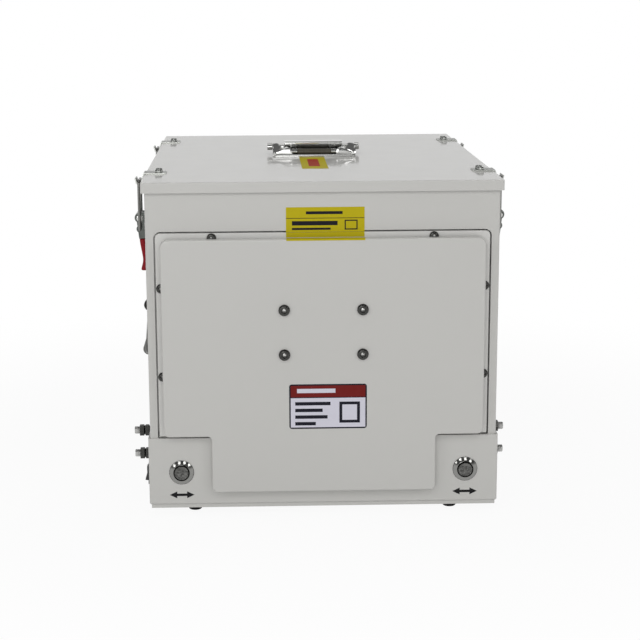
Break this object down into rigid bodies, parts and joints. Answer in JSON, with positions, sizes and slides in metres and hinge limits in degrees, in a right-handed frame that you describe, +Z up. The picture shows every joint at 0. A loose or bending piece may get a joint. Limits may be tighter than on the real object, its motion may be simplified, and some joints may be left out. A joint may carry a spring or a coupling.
{
  "type": "shielded test box",
  "caption": "Bench-top shielded test box with an air-driven T-fronted drawer, latched lid with folding handle, corner push-buttons and coaxial side connectors.",
  "frame": {"origin": "under the middle of the bounding box, on the surface that the feet stand on", "axes": "+X to the right seen from the drawer, +Y from the drawer front to the back, +Z up"},
  "size_m": [0.4034, 0.5292, 0.3632],
  "materials": {
    "white_enamel": "gloss",
    "door_enamel": "gloss",
    "plated_sheet": "satin",
    "bare_aluminium": "satin",
    "rod_steel": "polished",
    "absorber_foam": "matte",
    "seal_rubber": "matte",
    "foot_rubber": "matte",
    "zinc_plate": "satin",
    "red_vinyl": "satin",
    "chrome_plate": "polished",
    "handle_steel": "satin",
    "grip_rubber": "satin",
    "screw_steel": "satin",
    "button_steel": "satin",
    "nickel_plate": "satin",
    "black_plastic": "satin",
    "sintered_bronze": "matte",
    "blue_tube": "gloss",
    "board_laminate": "satin",
    "tray_mat": "matte"
  },
  "bodies": {
    "box": {"base_shell": "white_enamel", "bottom_plate": "white_enamel", "rubber_feet": "foot_rubber", "left_side_panel": "white_enamel", "right_side_panel": "white_enamel", "back_panel": "white_enamel", "front_frame": "white_enamel", "chamber_floor": "plated_sheet", "seal_flange": "plated_sheet", "absorber_panels": "absorber_foam", "lid_panel": "white_enamel", "lid_gasket": "seal_rubber", "lid_keepers": "zinc_plate", "keeper_screws": "screw_steel", "latch_bases": "zinc_plate", "top_handle_plate": "chrome_plate", "side_handle_plates": "zinc_plate", "button_housings": "button_steel", "panel_nuts": "nickel_plate", "coax_connectors": "nickel_plate", "switch_housing": "black_plastic", "power_inlet": "black_plastic", "air_inlet_fitting": "nickel_plate", "exhaust_silencer": "sintered_bronze", "solenoid_valve": "bare_aluminium", "air_tubes": "blue_tube", "control_board": "board_laminate", "cylinder_barrel": "bare_aluminium", "cylinder_caps": "bare_aluminium", "slide_outer_rails": "plated_sheet"},
    "drawer": {"drawer_cover": "white_enamel", "cover_screws": "screw_steel", "door_plate": "door_enamel", "door_screws": "screw_steel", "door_gasket": "seal_rubber", "drawer_tray": "plated_sheet", "tray_mat": "tray_mat", "slide_inner_rails": "plated_sheet", "piston_rod": "rod_steel", "rod_nut": "rod_steel"},
    "slide_middles": {"slide_middle_rails": "plated_sheet"},
    "left_button": {"left_button_cap": "button_steel"},
    "right_button": {"right_button_cap": "button_steel"},
    "switch_rocker": {"power_rocker": "black_plastic"},
    "top_handle": {"top_handle_bail": "chrome_plate", "top_handle_grip": "grip_rubber"},
    "left_handle": {"left_handle_bail": "handle_steel"},
    "right_handle": {"right_handle_bail": "handle_steel"},
    "front_left_lever": {"front_left_latch_lever": "zinc_plate", "front_left_latch_grip": "red_vinyl"},
    "front_left_bail": {"front_left_latch_bail": "zinc_plate"},
    "front_right_lever": {"front_right_latch_lever": "zinc_plate", "front_right_latch_grip": "red_vinyl"},
    "front_right_bail": {"front_right_latch_bail": "zinc_plate"},
    "rear_left_lever": {"rear_left_latch_lever": "zinc_plate", "rear_left_latch_grip": "red_vinyl"},
    "rear_left_bail": {"rear_left_latch_bail": "zinc_plate"},
    "rear_right_lever": {"rear_right_latch_lever": "zinc_plate", "rear_right_latch_grip": "red_vinyl"},
    "rear_right_bail": {"rear_right_latch_bail": "zinc_plate"}
  },
  "joints": [
    {"name": "drawer_slide", "type": "slide", "parent": "box", "child": "drawer", "axis": [0, -1, 0], "range_m": [0, 0.3]},
    {"name": "slide_middle_travel", "type": "slide", "parent": "box", "child": "slide_middles", "axis": [0, -1, 0], "range_m": [0, 0.15]},
    {"name": "left_button_press", "type": "slide", "parent": "box", "child": "left_button", "axis": [0, 1, 0], "range_m": [0, 0.0025], "stiffness_N_per_m": 800},
    {"name": "right_button_press", "type": "slide", "parent": "box", "child": "right_button", "axis": [0, 1, 0], "range_m": [0, 0.0025], "stiffness_N_per_m": 800},
    {"name": "rocker_tilt", "type": "hinge", "parent": "box", "child": "switch_rocker", "pos_m": [-0.18, -0.22535, 0.041], "axis": [0, -1, 0], "range_deg": [0, 16]},
    {"name": "top_handle_lift", "type": "hinge", "parent": "box", "child": "top_handle", "pos_m": [0, 0.01265, 0.3567], "axis": [-1, 0, 0], "range_deg": [0, 95]},
    {"name": "left_handle_swing", "type": "hinge", "parent": "box", "child": "left_handle", "pos_m": [-0.187, -0.00735, 0.187], "axis": [0, 1, 0], "range_deg": [0, 84]},
    {"name": "right_handle_swing", "type": "hinge", "parent": "box", "child": "right_handle", "pos_m": [0.187, -0.00735, 0.187], "axis": [0, -1, 0], "range_deg": [0, 84]},
    {"name": "front_left_latch", "type": "hinge", "parent": "box", "child": "front_left_lever", "pos_m": [-0.1877, -0.16935, 0.303], "axis": [0, 1, 0], "range_deg": [0, 90]},
    {"name": "front_left_bail_swing", "type": "hinge", "parent": "front_left_lever", "child": "front_left_bail", "pos_m": [-0.1877, -0.16935, 0.291], "axis": [0, 1, 0], "range_deg": [-72, 0]},
    {"name": "front_right_latch", "type": "hinge", "parent": "box", "child": "front_right_lever", "pos_m": [0.1877, -0.16935, 0.303], "axis": [0, -1, 0], "range_deg": [0, 90]},
    {"name": "front_right_bail_swing", "type": "hinge", "parent": "front_right_lever", "child": "front_right_bail", "pos_m": [0.1877, -0.16935, 0.291], "axis": [0, -1, 0], "range_deg": [-72, 0]},
    {"name": "rear_left_latch", "type": "hinge", "parent": "box", "child": "rear_left_lever", "pos_m": [-0.1877, 0.15465, 0.303], "axis": [0, 1, 0], "range_deg": [0, 90]},
    {"name": "rear_left_bail_swing", "type": "hinge", "parent": "rear_left_lever", "child": "rear_left_bail", "pos_m": [-0.1877, 0.15465, 0.291], "axis": [0, 1, 0], "range_deg": [-72, 0]},
    {"name": "rear_right_latch", "type": "hinge", "parent": "box", "child": "rear_right_lever", "pos_m": [0.1877, 0.15465, 0.303], "axis": [0, -1, 0], "range_deg": [0, 90]},
    {"name": "rear_right_bail_swing", "type": "hinge", "parent": "rear_right_lever", "child": "rear_right_bail", "pos_m": [0.1877, 0.15465, 0.291], "axis": [0, -1, 0], "range_deg": [-72, 0]}
  ],
  "couplings": [
    {"joint": "slide_middle_travel", "follows": "drawer_slide", "ratio": 0.5},
    {"joint": "front_left_bail_swing", "follows": "front_left_latch", "ratio": -0.8},
    {"joint": "front_right_bail_swing", "follows": "front_right_latch", "ratio": -0.8},
    {"joint": "rear_left_bail_swing", "follows": "rear_left_latch", "ratio": -0.8},
    {"joint": "rear_right_bail_swing", "follows": "rear_right_latch", "ratio": -0.8}
  ]
}
